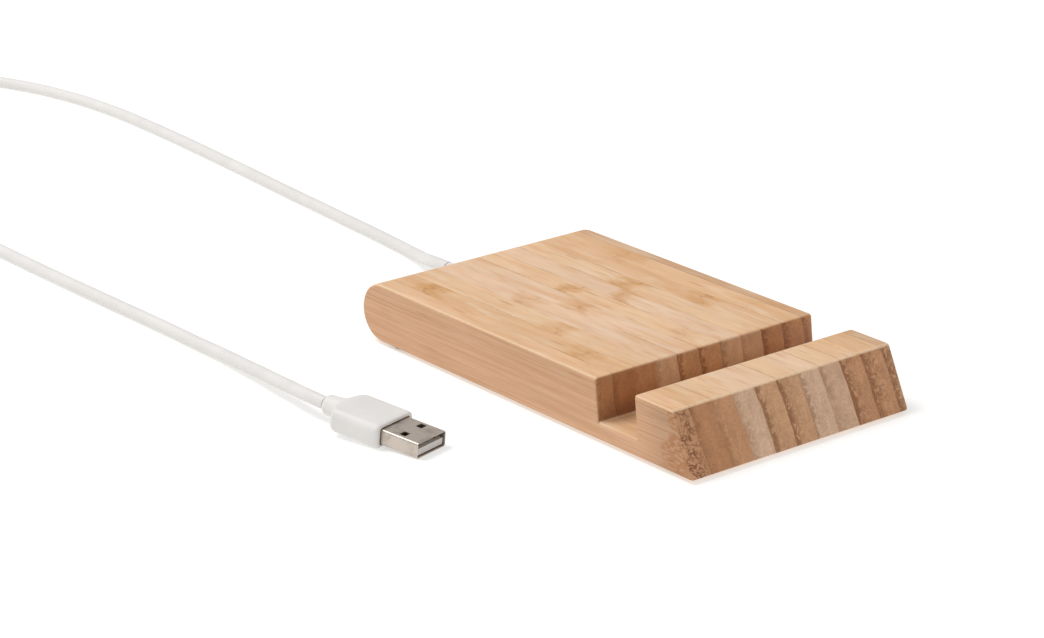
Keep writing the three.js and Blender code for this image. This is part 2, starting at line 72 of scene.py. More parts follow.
# The cord's loose runs, in millimetres, the same as in the CAD part. They are rounded from a route
# that was fitted to the photograph.
ROUTE_FROM_PAD = [
    (0, 82, 9.65), (0.5, 86, 9.4), (1.75, 91, 8.6), (3.5, 96, 7.5), (6, 101, 6), (8.75, 106, 4.5),
    (11.25, 111, 3.25), (13, 117, 2.4), (14.25, 123, 2), (15, 130, 1.9), (16, 141, 1.9),
    (17, 155, 1.9), (18.25, 172, 1.9), (19.5, 190, 1.9), (21.25, 212, 1.9), (23, 236, 1.9),
    (24.75, 262, 1.9), (26, 290, 1.9), (26, 314, 1.9), (23.5, 338, 1.9), (17.5, 361, 1.9),
    (7.5, 382, 1.9), (-6.5, 397.5, 1.9), (-24, 405, 1.9), (-34, 406.5, 1.9),
]
ROUTE_TO_PLUG = [
    (-76, 364, 4.8), (-76, 356, 4), (-76.5, 342, 2.8), (-77, 328, 2.1), (-78, 312, 1.9),
    (-80, 290, 1.9), (-82, 266, 1.9), (-83.5, 240, 1.9), (-84.25, 215, 1.9), (-84.5, 190, 1.9),
    (-84.25, 165, 1.9), (-83.75, 140, 1.9), (-83.25, 120, 1.9), (-83, 105, 1.9), (-83, 94, 1.9),
    (-83, 84, 2.1), (-83.5, 75, 2.5), (-84.25, 66, 3), (-85, 58, 3.6), (-86, 50, 4.2),
    (-86.75, 42, 4.8), (-87.5, 36, 5.25), (-87.75, 32, 5.5), (-87.75, 28, 5.6), (-87.3, 24.3, 5.4),
]

# The coil of spare length, in millimetres, degrees and turns. Its centre and the tie's angle are
# the CAD part's, which has one plain ring where these turns are.
COIL_CENTRE = (-50, 380)
COIL_TURNS = 3.25
COIL_OUTER = 26.0
COIL_PITCH = 4.0
COIL_STEPS_PER_TURN = 16
LOWER_LAYER = 1.9
LAYER_RISE = 3.9
RISE_TURNS = 0.5
TIE_ANGLE = 135
TIE_LIFT = 0.9  # the strap's thickness and clearance lift the turns this much
TIE_LIFT_SPREAD = 28

# The USB-A plug lies with its nose slightly down. Its own frame has the nose at y = 0 and the
# cord towards +Y. Its place and its two angles are fitted to the photograph.
PLUG_A_FRAME = (
    Matrix.Translation((-78.55 * MM, -11.23 * MM, 2.33 * MM))
    @ Matrix.Rotation(math.radians(13.9), 4, "Z")
    @ Matrix.Rotation(math.radians(4.88), 4, "X")
)


# ---- Camera, floor and light -------------------------------------------------------------------

# Fitted to the block's corners, the slot and the USB-A plug in the photograph
CAMERA_PLACE = (-0.55832, -0.63805, 0.32571)
CAMERA_DOWN = 20.042
CAMERA_TURN = -39.171
CAMERA_LENS = 110.76


def add_camera():
    lens = bpy.data.cameras.new("camera")
    lens.lens = CAMERA_LENS
    lens.sensor_width = 36
    lens.sensor_fit = "HORIZONTAL"
    lens.clip_start = 0.05
    lens.clip_end = 30
    camera = bpy.data.objects.new("camera", lens)
    camera.location = CAMERA_PLACE
    camera.rotation_euler = (math.radians(90 - CAMERA_DOWN), 0, math.radians(CAMERA_TURN))
    bpy.context.scene.collection.objects.link(camera)
    bpy.context.scene.camera = camera


def add_area_light(name, location, target, size, watts):
    data = bpy.data.lights.new(name, "AREA")
    data.shape = "DISK"
    data.size = size
    data.energy = watts
    light = bpy.data.objects.new(name, data)
    light.location = location
    direction = Vector(target) - Vector(location)
    light.rotation_euler = direction.to_track_quat("-Z", "Y").to_euler()
    bpy.context.scene.collection.objects.link(light)


FLOOR_WIDTH = 8.0
WORLD_STRENGTH = 0.58
KEY_WATTS = 12.5
FILL_WATTS = 1.6


def add_studio():
    world = bpy.data.worlds.new("studio")
    bpy.context.scene.world = world
    world.use_nodes = True
    background = world.node_tree.nodes["Background"]
    background.inputs["Color"].default_value = (1, 1, 1, 1)
    background.inputs["Strength"].default_value = WORLD_STRENGTH
    add_area_light("key", (-0.5, 0.6, 1.3), (0, 0.02, 0), 0.7, KEY_WATTS)
    add_area_light("fill", (-0.3, -1.2, 0.7), (0, 0, 0), 1.0, FILL_WATTS)

    half = FLOOR_WIDTH / 2
    corners = [(-half, -half, 0), (half, -half, 0), (half, half, 0), (-half, half, 0)]
    floor = new_object("floor", corners, [(0, 1, 2, 3)])
    floor.data.materials.append(floor_material())
    bpy.context.scene.view_settings.view_transform = "Standard"


# ---- Shader helpers ----------------------------------------------------------------------------

def linear(colour):
    """A hex colour such as "e0bd9a" as linear red, green, blue and alpha."""
    channels = [int(colour[i:i + 2], 16) / 255 for i in (0, 2, 4)]
    return tuple(
        c / 12.92 if c <= 0.04045 else ((c + 0.055) / 1.055) ** 2.4 for c in channels
    ) + (1.0,)


class Shader:
    """Builds one material's nodes. Lengths inside a shader are in millimetres, in the object's
    own axes."""

    def __init__(self, name, **surface):
        self.material = bpy.data.materials.new(name)
        self.material.use_nodes = True
        self.tree = self.material.node_tree
        self.surface = self.tree.nodes["Principled BSDF"]
        for socket, value in surface.items():
            self.set(socket.replace("_", " "), value)
        coordinates = self.tree.nodes.new("ShaderNodeTexCoord")
        self.place = self.vector_math("SCALE", coordinates.outputs["Object"], scale=1000)
        self.x, self.y, self.z = self.split(self.place)

    def set(self, socket, value):
        self.feed(self.surface.inputs[socket], value)

    def feed(self, socket, value):
        if isinstance(value, bpy.types.NodeSocket):
            self.tree.links.new(value, socket)
        else:
            socket.default_value = value

    def node(self, kind, inputs=(), **settings):
        node = self.tree.nodes.new(kind)
        for name, value in settings.items():
            setattr(node, name, value)
        for socket, value in dict(inputs).items():
            self.feed(node.inputs[socket], value)
        return node

    def math(self, operation, first, second=0.5, third=0.5, clamp=False):
        values = enumerate((first, second, third))
        return self.node("ShaderNodeMath", values, operation=operation, use_clamp=clamp).outputs[0]

    def vector_math(self, operation, first, second=(0, 0, 0), scale=1.0):
        node = self.node("ShaderNodeVectorMath", {0: first}, operation=operation)
        if operation == "SCALE":
            self.feed(node.inputs["Scale"], scale)
        else:
            self.feed(node.inputs[1], second)
        return node.outputs[0]

    def split(self, vector):
        return self.node("ShaderNodeSeparateXYZ", {0: vector}).outputs[:3]

    def join(self, x, y, z):
        return self.node("ShaderNodeCombineXYZ", {0: x, 1: y, 2: z}).outputs[0]

    def stretched(self, x, y, z):
        """The place, with each axis times its own factor."""
        return self.vector_math("MULTIPLY", self.place, (x, y, z))

    def noise(self, vector, scale=1.0, detail=2.0, roughness=0.5, distortion=0.0):
        inputs = {
            "Vector": vector, "Scale": scale, "Detail": detail, "Roughness": roughness,
            "Distortion": distortion,
        }
        return self.node("ShaderNodeTexNoise", inputs).outputs[0]

    def cells(self, vector, scale=1.0):
        """Distance to the nearest cell point, and a random number for that cell."""
        node = self.node("ShaderNodeTexVoronoi", {"Vector": vector, "Scale": scale})
        return node.outputs["Distance"], self.split(node.outputs["Color"])[0]

    def between(self, value, low, high, out_low=0.0, out_high=1.0):
        """Smoothly from out_low, where the value is at low, to out_high, where it is at high."""
        inputs = {"Value": value, 1: low, 2: high, 3: out_low, 4: out_high}
        return self.node("ShaderNodeMapRange", inputs, interpolation_type="SMOOTHSTEP").outputs[0]

    def mix(self, factor, first, second, blend="MIX"):
        node = self.node("ShaderNodeMix", data_type="RGBA", blend_type=blend)
        self.feed(node.inputs[0], factor)
        self.feed(node.inputs[6], first)
        self.feed(node.inputs[7], second)
        return node.outputs[2]

    def shade(self, colour, factor):
        """A colour made lighter or darker by a factor that varies over the surface."""
        grey = self.join(factor, factor, factor)
        return self.mix(1.0, colour, grey, "MULTIPLY")

    def steps(self, value, colours):
        """One flat colour for each equal step of the value from 0 to 1."""
        node = self.node("ShaderNodeValToRGB", {0: value})
        ramp = node.color_ramp
        ramp.interpolation = "CONSTANT"
        for index, colour in enumerate(colours):
            if index < len(ramp.elements):
                element = ramp.elements[index]
                element.position = index / len(colours)
            else:
                element = ramp.elements.new(index / len(colours))
            element.color = colour
        return node.outputs[0]

    def levels(self, value, numbers):
        """One number for each equal step of the value from 0 to 1."""
        low = min(numbers)
        span = max(numbers) - low
        greys = [((number - low) / span,) * 3 + (1.0,) for number in numbers]
        return self.math("MULTIPLY_ADD", self.steps(value, greys), span, low)

    def window(self, value, low, high, soft):
        """1 where the value lies between low and high, with soft edges outside them."""
        rising = self.between(value, low - soft, low)
        return self.math("MULTIPLY", rising, self.between(value, high + soft, high))

    def bump(self, height, distance, strength=1.0):
        inputs = {"Height": height, "Distance": distance * MM, "Strength": strength}
        self.set("Normal", self.node("ShaderNodeBump", inputs).outputs[0])


# ---- Materials ---------------------------------------------------------------------------------

STRIP_PITCH = 7.8
STRIP_START = -40.9  # where the first strip would begin, at the table, if it weren't trimmed
STRIP_LEAN = 0.07

# Bamboo tones, along the grain and on sawn ends. They are coarser forms of tones that were
# matched to the photograph.
GRAIN_TONES = {
    "pale": "e0bc9c", "cream": "e0ba94", "honey": "deb48c", "amber": "dab086", "tan": "c8a07c",
}
END_TONES = {
    "pale": "d2ae90", "sand": "cca588", "tan": "c89a74", "brown": "c08e68", "russet": "b8835c",
}

# For each strip from left to right: its tone along the grain and on its sawn end, how brown that
# end's speckle is, and how dark the glue line on the strip's left is.
STRIP_TONES = [
    "honey", "amber", "cream", "pale", "pale", "cream", "pale", "cream", "honey", "amber", "tan",
]
STRIP_END_TONES = [
    "brown", "russet", "brown", "pale", "tan", "tan", "pale", "sand", "brown", "brown", "tan",
]
STRIP_SPECKLE = [0.8, 0.05, 0.1, 0.2, 0.35, 0.5, 0.2, 0.3, 0.75, 0.85, 0.95]
STRIP_GLUE = [0.0, 0.15, 0.1, 0.35, 0.85, 0.9, 0.65, 0.3, 0.9, 0.75, 0.8]

# Where the cane's joints cross each strip, as y in millimetres, and how brown they are
JOINT_PLACES = [
    [-24, 51, 3, 26, 14, 26, 11, 20, -4, 40, -20],
    [60, -16, 66, -30, 62, -22, 58, -34, 55, -14, 45],
]
JOINT_STRENGTHS = [
    [0.2, 1.0, 0.6, 0.5, 0.75, 0.9, 0.8, 0.85, 0.75, 0.45, 0.4],
    [0.0, 0.6, 0.1, 0.25, 0.15, 0.3, 0.1, 0.35, 0.1, 0.3, 0.1],
]


# A joint's brown patch and the darker ridge across it fade out this far from its line, and the
# line wanders by up to about half of the wobble. In millimetres.
JOINT_PATCH = 7.5
JOINT_RIDGE = 1.2
JOINT_WOBBLE = 18


def bamboo_material():
    s = Shader("laminated_bamboo")
    s.set("Specular IOR Level", 0.3)
    normal_x, normal_y, normal_z = s.split(s.node("ShaderNodeTexCoord").outputs["Normal"])
    facing_x = s.math("ABSOLUTE", normal_x)
    facing_y = s.math("ABSOLUTE", normal_y)
    end = s.between(facing_y, 0.45, 0.85)
    side = s.between(facing_x, 0.5, 0.9)

    # The strips lean slightly, and their edges wander.
    wander = s.noise(s.stretched(0.03, 0.008, 0.12), 1.0, 2.0)
    x = s.math("ADD", s.x, s.between(wander, 0.2, 0.8, -0.35, 0.35))
    x = s.math("ADD", x, s.math("MULTIPLY", s.z, STRIP_LEAN))
    along = s.math("DIVIDE", s.math("SUBTRACT", x, STRIP_START), STRIP_PITCH)
    strip = s.math("FLOOR", along)
    across = s.math("FRACT", along)
    which = s.math("DIVIDE", s.math("ADD", strip, 0.5), len(STRIP_TONES))

    # Each strip has its own piece of every pattern.
    shift = s.join(0.0, s.math("MULTIPLY", strip, 53.7), s.math("MULTIPLY", strip, 17.3))
    place = s.vector_math("ADD", s.place, shift)

    def grain(x, y, z, detail=3.0, roughness=0.55, distortion=0.0):
        scaled = s.vector_math("MULTIPLY", place, (x, y, z))
        return s.noise(scaled, 1.0, detail, roughness, distortion)

    broad = grain(0.12, 0.022, 0.10, 2.0)
    patches = grain(0.32, 0.045, 0.30, 2.0, 0.5, 0.6)
    streaks = grain(0.7, 0.07, 0.7, 2.0, 0.5, 0.8)
    fibre = grain(2.6, 0.16, 2.6, 2.0)

    # Along the grain
    colour = s.steps(which, [linear(GRAIN_TONES[tone]) for tone in STRIP_TONES])
    colour = s.shade(colour, s.between(broad, 0.3, 0.7, 0.95, 1.04))
    colour = s.mix(s.between(patches, 0.5, 0.68, 0, 0.42), colour, linear("d29c69"))
    colour = s.mix(s.between(patches, 0.47, 0.3, 0, 0.38), colour, linear("e8cfb3"))
    colour = s.mix(s.between(streaks, 0.55, 0.75, 0, 0.27), colour, linear("bb8554"))
    colour = s.mix(s.between(streaks, 0.42, 0.26, 0, 0.13), colour, linear("f0d9be"))
    colour = s.shade(colour, s.between(fibre, 0.25, 0.75, 0.975, 1.02))

    # Short dark dashes, where bundles of fibres come to the surface
    distance, chance = s.cells(s.vector_math("MULTIPLY", place, (0.42, 0.06, 0.42)))
    dash = s.math("MULTIPLY", s.between(distance, 0.3, 0.08), s.math("LESS_THAN", chance, 0.22))
    colour = s.mix(s.math("MULTIPLY", dash, 0.42), colour, linear("a9703f"))

    # The outer side faces are duller, most of all under the top edge and near the front.
    lines = grain(1.0, 0.02, 1.7, 4.0, 0.65, 0.3)
    dull = s.mix(s.between(lines, 0.35, 0.65), linear("ba8b65"), linear("d2a585"))
    colour = s.mix(s.math("MULTIPLY", side, 0.75), colour, dull)
    under_edge = s.math("MULTIPLY", side, s.between(s.z, 10.5, 15.5))
    to_front = s.math("MULTIPLY", side, s.between(s.y, -45, -66))
    colour = s.shade(colour, s.between(under_edge, 0, 1, 1.0, 0.95))
    colour = s.shade(colour, s.between(to_front, 0, 1, 1.0, 0.8))

    # Joints of the cane: a brown patch with a darker wavy ridge across it
    wobble = s.noise(s.stretched(0.25, 0.12, 0.25), 1.0, 3.0)
    uneven = s.math("SUBTRACT", wobble, 0.5)
    centred = s.math("SUBTRACT", across, 0.5)
    bow = s.math("MULTIPLY", s.math("MULTIPLY", centred, centred), 4.0)
    for places, strengths in zip(JOINT_PLACES, JOINT_STRENGTHS):
        offset = s.math("SUBTRACT", s.y, s.levels(which, places))
        offset = s.math("ADD", offset, s.math("MULTIPLY", uneven, JOINT_WOBBLE))
        offset = s.math("ADD", offset, bow)
        size = s.math("ABSOLUTE", offset)
        patch = s.between(size, JOINT_PATCH, 2.0)
        patch = s.math("MULTIPLY", patch, s.between(streaks, 0.3, 0.55, 0.4, 1.0))
        ridge = s.between(size, JOINT_RIDGE, 0.2)
        ridge = s.math("MULTIPLY", ridge, s.between(fibre, 0.35, 0.6, 0.0, 1.0))
        strength = s.levels(which, strengths)
        strength = s.math("MULTIPLY", strength, s.between(side, 0, 1, 1, 0))
        patch = s.math("MULTIPLY", s.math("MULTIPLY", patch, strength), 0.88)
        ridge = s.math("MULTIPLY", s.math("MULTIPLY", ridge, strength), 0.55)
        colour = s.mix(patch, colour, linear("cb975f"))
        colour = s.mix(ridge, colour, linear("a06a3e"))

    # Sawn ends: fine crooked bundles, densest on the left of each strip
    sawn = s.steps(which, [linear(END_TONES[tone]) for tone in STRIP_END_TONES])
    sawn = s.shade(sawn, s.between(grain(0.35, 0.02, 0.07), 0.3, 0.7, 0.92, 1.07))
    crooked = s.noise(s.stretched(0.55, 0.55, 0.55), 1.0, 2.0, 0.6, 0.8)
    squiggle = s.between(s.math("ABSOLUTE", s.math("SUBTRACT", crooked, 0.5)), 0.09, 0.02)
    clusters = s.between(s.noise(s.place, 0.4, 2.0), 0.3, 0.55)
    on_left = s.between(across, 0.25, 0.9, 1.0, 0.3)
    dense = s.math("MULTIPLY", s.levels(which, STRIP_SPECKLE), on_left)
    on_front = s.between(s.y, -58, -60)
    rim = s.math("MULTIPLY", s.between(s.x, -30.5, -37.5, 0.0, 1.4), on_front)
    dense = s.math("MULTIPLY", dense, s.between(on_front, 0, 1, 0.5, 1.0))
    dense = s.math("MAXIMUM", dense, rim)
    marks = s.math("MULTIPLY", s.math("MULTIPLY", squiggle, clusters), dense)
    sawn = s.mix(s.math("MULTIPLY", marks, 0.62, clamp=True), sawn, linear("764526"))
    speckle = s.noise(place, 1.6, 3.0, 0.6)
    sawn = s.shade(sawn, s.between(speckle, 0.3, 0.7, 0.9, 1.08))
    mottle = s.noise(s.vector_math("MULTIPLY", place, (0.3, 0.3, 0.16)), 1.0, 3.0, 0.6, 1.2)
    sawn = s.shade(sawn, s.between(mottle, 0.35, 0.65, 0.93, 1.04))
    # Painted shade in the slot: its sawn walls are darker, most towards the slot's bottom and its
    # left end.
    in_slot = s.window(s.y, -48, -31, 1)
    slot_painted_shade = s.mix(s.between(s.x, -34, -8), linear("ece0cf"), linear("fdf2e2"))
    slot_painted_shade = s.shade(slot_painted_shade, s.between(s.z, 14, 6.5, 1.0, 0.7))
    sawn = s.mix(in_slot, sawn, s.mix(1.0, sawn, slot_painted_shade, "MULTIPLY"))
    colour = s.mix(end, colour, sawn)

    # Torn grain on the side beside the slanted front
    slope = FRONT_SLANT / (BLOCK_HIGH.z - BLOCK_LOW.z)
    from_front = s.math("MULTIPLY_ADD", s.z, -slope, s.y)
    torn_depth = s.math("MULTIPLY_ADD", wobble, 18, -75.5)
    torn_depth = s.math("ADD", torn_depth, s.between(s.z, 15, 3, -2.5, 3.5))
    past_torn = s.math("SUBTRACT", from_front, torn_depth)
    torn = s.math("MULTIPLY", side, s.between(past_torn, 2.0, -2.0))
    blotches = s.noise(s.stretched(0.4, 0.4, 1.1), 1.0, 3.0, 0.6, 0.8)
    torn = s.math("MULTIPLY", torn, s.between(blotches, 0.4, 0.56))
    colour = s.mix(s.math("MULTIPLY", torn, 0.8), colour, linear("a96f42"))

    # Glue lines between the strips: dark on the ends, faint and broken along the grain
    glue = s.levels(which, STRIP_GLUE)
    soak = s.between(end, 0, 1, 0.4, 1.0)
    soaked_width = s.between(speckle, 0.3, 0.7, 0.08, 0.28)
    soaked_width = s.math("ADD", soaked_width, s.between(crooked, 0.4, 0.6, 0.0, 0.12))
    ragged = s.math("MULTIPLY", end, s.between(crooked, 0.35, 0.65, 0.0, 0.14))
    from_line = s.math("ABSOLUTE", s.math("SUBTRACT", across, ragged))
    line = s.between(from_line, s.math("MULTIPLY", soak, soaked_width), 0.0)
    broken = s.between(grain(0.02, 0.03, 0.1), 0.42, 0.6, 0.0, 0.4)
    line = s.math("MULTIPLY", line, s.between(side, 0, 1, 1, 0))
    on_end = s.math("MULTIPLY", s.math("MULTIPLY", end, glue), 0.85)
    line_strength = s.math("MAXIMUM", on_end, broken)
    colour = s.mix(s.math("MULTIPLY", line, line_strength), colour, linear("84532f"))

    # Painted highlight: the bevelled top edges are painted pale, where they catch the light.
    highlight_along_side = s.window(facing_x, 0.3, 0.8, 0.2)
    highlight_across_front = s.window(facing_y, 0.25, 0.7, 0.15)
    highlight_across_front = s.math("MULTIPLY", highlight_across_front, s.between(s.y, -40, -41))
    painted_edge_highlight = s.math("MAXIMUM", highlight_along_side, highlight_across_front)
    painted_edge_highlight = s.math("MULTIPLY", painted_edge_highlight, s.between(normal_z, 0.45, 0.6))
    painted_edge_highlight = s.math("MULTIPLY", painted_edge_highlight, s.between(speckle, 0.3, 0.6, 0.25, 0.6))
    painted_edge_highlight = s.math("MULTIPLY", painted_edge_highlight, s.between(s.z, 9, 15))
    colour = s.mix(painted_edge_highlight, colour, linear("eaccaa"))

    s.set("Base Color", colour)
    s.set("Roughness", s.between(fibre, 0.2, 0.8, 0.45, 0.6))
    relief = s.math("MULTIPLY", fibre, 0.6)
    relief = s.math("SUBTRACT", relief, s.math("MULTIPLY", marks, end))
    relief = s.math("SUBTRACT", relief, s.math("MULTIPLY", line, s.math("MULTIPLY", end, 0.6)))
    s.bump(relief, 0.05, 0.6)
    return s.material


def moulded_material(name, colour, dark, light, roughness, grain=5.0, depth=0.01):
    """Moulded plastic or rubber: a fine even texture, with slight handling marks."""
    s = Shader(name, Roughness=roughness)
    marks = s.noise(s.place, 0.12, 3.0)
    base = s.shade(linear(colour), s.between(marks, 0.3, 0.7, dark, light))
    s.set("Base Color", base)
    s.set("Roughness", s.between(marks, 0.3, 0.7, roughness - 0.05, roughness + 0.07))
    s.bump(s.noise(s.place, grain, 2.0), depth)
    return s.material


def metal_material(name, colour, tint, roughness, stretch=(1, 1, 1), depth=0.003):
    """Plated or drawn metal with fine rolling marks and a little tarnish."""
    s = Shader(name, Metallic=1.0)
    tarnish = s.noise(s.place, 0.3, 4.0)
    s.set("Base Color", s.mix(s.between(tarnish, 0.4, 0.75), linear(colour), linear(tint)))
    marks = s.noise(s.stretched(*stretch), 3.0, 3.0)
    s.set("Roughness", s.between(marks, 0.2, 0.8, roughness - 0.05, roughness + 0.08))
    s.bump(marks, depth)
    return s.material


WIRE_PITCH = 0.72  # in millimetres


def copper_material():
    """Enamelled wire wound flat round the coil's centre."""
    s = Shader("copper_winding", Metallic=1.0, Roughness=0.3)
    low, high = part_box("transmitter_coil")
    centre = ((low.x + high.x) / 2 / MM, (low.y + high.y) / 2 / MM, 0)
    flat = s.vector_math("MULTIPLY", s.vector_math("SUBTRACT", s.place, centre), (1, 1, 0))
    radius = s.node("ShaderNodeVectorMath", {0: flat}, operation="LENGTH").outputs["Value"]
    turns = s.math("MULTIPLY", radius, math.pi / WIRE_PITCH)
    wave = s.math("ABSOLUTE", s.math("SINE", turns))
    uneven = s.noise(s.place, 0.4, 3.0)
    # Painted shade: darker lines in the grooves between the turns of wire.
    base = s.mix(s.between(wave, 0.0, 0.5), linear("5a2c14"), linear("c87a45"))
    s.set("Base Color", s.shade(base, s.between(uneven, 0.3, 0.7, 0.85, 1.1)))
    s.set("Roughness", s.between(uneven, 0.3, 0.7, 0.25, 0.4))
    s.bump(wave, 0.3)
    return s.material


def board_material():
    """Green solder mask over copper traces, with a fine weave under it."""
    s = Shader("circuit_board", Roughness=0.35)
    grid = s.vector_math("SNAP", s.place, (1.2, 1.2, 1.2))
    route = s.noise(grid, 0.35, 1.0)
    trace = s.math("MULTIPLY", s.between(route, 0.5, 0.52), s.between(route, 0.56, 0.54))
    weave = s.noise(s.stretched(3, 3, 0.2), 1.0, 1.0)
    base = s.mix(s.math("MULTIPLY", trace, 0.7), linear("175236"), linear("3f8a5c"))
    s.set("Base Color", s.shade(base, s.between(weave, 0.3, 0.7, 0.9, 1.08)))
    s.bump(trace, 0.03)
    return s.material


def fabric_material():
    """Black hook-and-loop strap: dense short loops."""
    s = Shader("strap", Roughness=0.9)
    distance, chance = s.cells(s.place, 1.8)
    # Painted shade: the strap is darker between its loops.
    base = s.mix(s.between(distance, 0.1, 0.7), linear("3a3a3c"), linear("141416"))
    s.set("Base Color", s.shade(base, s.between(chance, 0, 1, 0.8, 1.2)))
    s.set("Sheen Weight", 0.3)
    s.bump(distance, 0.12)
    return s.material


FLOOR_GLOW = 0.47


def floor_material():
    """A white sweep lit from below too, so that shadows on it stay pale."""
    s = Shader("studio_floor", Roughness=0.9)
    s.set("Specular IOR Level", 0.1)
    cloud = s.noise(s.place, 0.004, 2.0)
    s.set("Base Color", s.shade(linear("cdcdcb"), s.between(cloud, 0.3, 0.7, 0.99, 1.0)))
    s.set("Emission Color", (1, 1, 1, 1))
    s.set("Emission Strength", FLOOR_GLOW)
    return s.material


MATERIALS = {
    "bamboo": bamboo_material(),
    "dark_plastic": moulded_material("dark_plastic", "2c2c2e", 0.9, 1.12, 0.6, 4.0, 0.03),
    "silicone": moulded_material("silicone", "4c4c4e", 0.92, 1.06, 0.75, 3.0, 0.01),
    "zinc_steel": metal_material("zinc_steel", "c0c0bc", "8f9094", 0.33),
    "copper": copper_material(),
    "ferrite": moulded_material("ferrite", "3b3b3f", 0.85, 1.1, 0.5, 8.0, 0.02),
    "white_foam": moulded_material("white_foam", "e8e6de", 0.93, 1.03, 0.9, 2.5, 0.1),
    "board_green": board_material(),
    "chip_black": moulded_material("chip_black", "1d1d1f", 0.9, 1.15, 0.5, 9.0, 0.01),
    "ceramic_tan": moulded_material("ceramic_tan", "b39a72", 0.88, 1.06, 0.5, 5.0, 0.01),
    "capacitor_can": metal_material("capacitor_can", "d0d0d4", "a8a9ae", 0.28, (1, 1, 0.1)),
    "white_cable": moulded_material("white_cable", "dedbd8", 0.965, 1.015, 0.52, 3.0, 0.006),
    "tie_fabric": fabric_material(),
    "plug_steel": metal_material("plug_steel", "cbc0b5", "aca196", 0.42, (1, 0.15, 1)),
    # The insulator is white; its colour is darkened to grey as painted shade inside the plug's mouth.
    "white_insulator": moulded_material("white_insulator", "c9c4c0", 0.96, 1.02, 0.5, 4.0, 0.005),
    "gold_plate": metal_material("gold_plate", "e0b65c", "b98a3a", 0.25, (1, 0.2, 1)),
}


# ---- Mesh helpers ------------------------------------------------------------------------------

def new_object(name, vertices, faces):
    mesh = bpy.data.meshes.new(name)
    mesh.from_pydata([tuple(v) for v in vertices], [], faces)
    mesh.validate()
    item = bpy.data.objects.new(name, mesh)
    bpy.context.scene.collection.objects.link(item)
    return item


def piece(item, slot, body, *replaced):
    """Finishes a piece: its material, the body that it rides on, and what it stands for."""
    item.data.materials.clear()
    item.data.materials.append(MATERIALS[slot])
    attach(item, body)
    if replaced:
        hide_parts(*replaced)
    return item


def rounded_rectangle(width, height, radius, segments=6):
    """Points round a rectangle with round corners, centred on the origin, anticlockwise."""
    points = []
    for quarter, (sx, sy) in enumerate([(1, -1), (1, 1), (-1, 1), (-1, -1)]):
        centre = (sx * (width / 2 - radius), sy * (height / 2 - radius))
        for step in range(segments + 1):
            angle = (quarter - 1 + step / segments) * math.pi / 2
            points.append(
                (centre[0] + radius * math.cos(angle), centre[1] + radius * math.sin(angle))
            )
    return points


def loft(name, rings):
    """A closed skin over rings of the same number of points, with a flat cap at each end."""
    count = len(rings[0])
    vertices = [point for ring in rings for point in ring]
    faces = []
    for level in range(len(rings) - 1):
        for i in range(count):
            j = (i + 1) % count
            a, b = level * count, (level + 1) * count
            faces.append((a + i, a + j, b + j, b + i))
    faces.append(tuple(reversed(range(count))))
    faces.append(tuple(range((len(rings) - 1) * count, len(rings) * count)))
    item = new_object(name, vertices, faces)
    outward(item)
    return item


def outward(item):
    work = bmesh.new()
    work.from_mesh(item.data)
    bmesh.ops.recalc_face_normals(work, faces=work.faces)
    work.to_mesh(item.data)
    work.free()


def loft_along_y(name, stations, x=0.0, z=0.0):
    """A loft of rounded rectangles. Each station is y, width, height and corner radius, in mm."""
    rings = []
    for y, width, height, radius in stations:
        outline = rounded_rectangle(width, height, radius)
        rings.append([((x + px) * MM, y * MM, (z + pz) * MM) for px, pz in outline])
    return loft(name, rings)


def loft_upright(name, width, length, radius, bottom, top, x=0.0, y=0.0):
    """An upright block with round corners, in metres."""
    outline = rounded_rectangle(width, length, radius, 10)
    rings = [[(x + px, y + py, z) for px, py in outline] for z in (bottom, top)]
    return loft(name, rings)


def lathe_along_y(name, profile, sides=40, x=0.0, z=0.0):
    """A solid of revolution about a line along Y. The profile is a list of y and radius, in mm."""
    rings = []
    for y, radius in profile:
        ring = []
        for side in range(sides):
            angle = 2 * math.pi * side / sides
            ring_x = x + radius * math.cos(angle)
            ring_z = z + radius * math.sin(angle)
            ring.append((ring_x * MM, y * MM, ring_z * MM))
        rings.append(ring)
    return loft(name, rings)


def lathe_upright(name, profile, sides=48, x=0.0, y=0.0):
    """The same about a line along Z. The profile is z and radius in mm, and x and y are in metres."""
    item = lathe_along_y(name, profile, sides)
    item.data.transform(Matrix.Rotation(math.pi / 2, 4, "X"))
    item.data.transform(Matrix.Translation((x, y, 0)))
    outward(item)
    return item


def apply_modifiers(item):
    bpy.context.view_layer.update()
    evaluated = item.evaluated_get(bpy.context.evaluated_depsgraph_get())
    mesh = bpy.data.meshes.new_from_object(evaluated)
    mesh.name = item.name
    old = item.data
    item.modifiers.clear()
    item.data = mesh
    bpy.data.meshes.remove(old)


def carve(item, cutters):
    """Takes the cutters out of a piece, and removes them."""
    for cutter in cutters:
        modifier = item.modifiers.new("cut", "BOOLEAN")
        modifier.operation = "DIFFERENCE"
        modifier.solver = "EXACT"
        modifier.object = cutter
    apply_modifiers(item)
    for cutter in cutters:
        bpy.data.objects.remove(cutter)


def bevel(item, width, segments=3, angle=30):
    modifier = item.modifiers.new("edges", "BEVEL")
    modifier.width = width
    modifier.segments = segments
    modifier.limit_method = "ANGLE"
    modifier.angle_limit = math.radians(angle)
    apply_modifiers(item)


def smooth(item, angle=40):
    """Smooth shading that keeps flat faces flat and sharp edges sharp."""
    for polygon in item.data.polygons:
        polygon.use_smooth = True
    item.data.set_sharp_from_angle(angle=math.radians(angle))
    modifier = item.modifiers.new("normals", "WEIGHTED_NORMAL")
    modifier.keep_sharp = True
    apply_modifiers(item)
    return item


# ---- Cord --------------------------------------------------------------------------------------

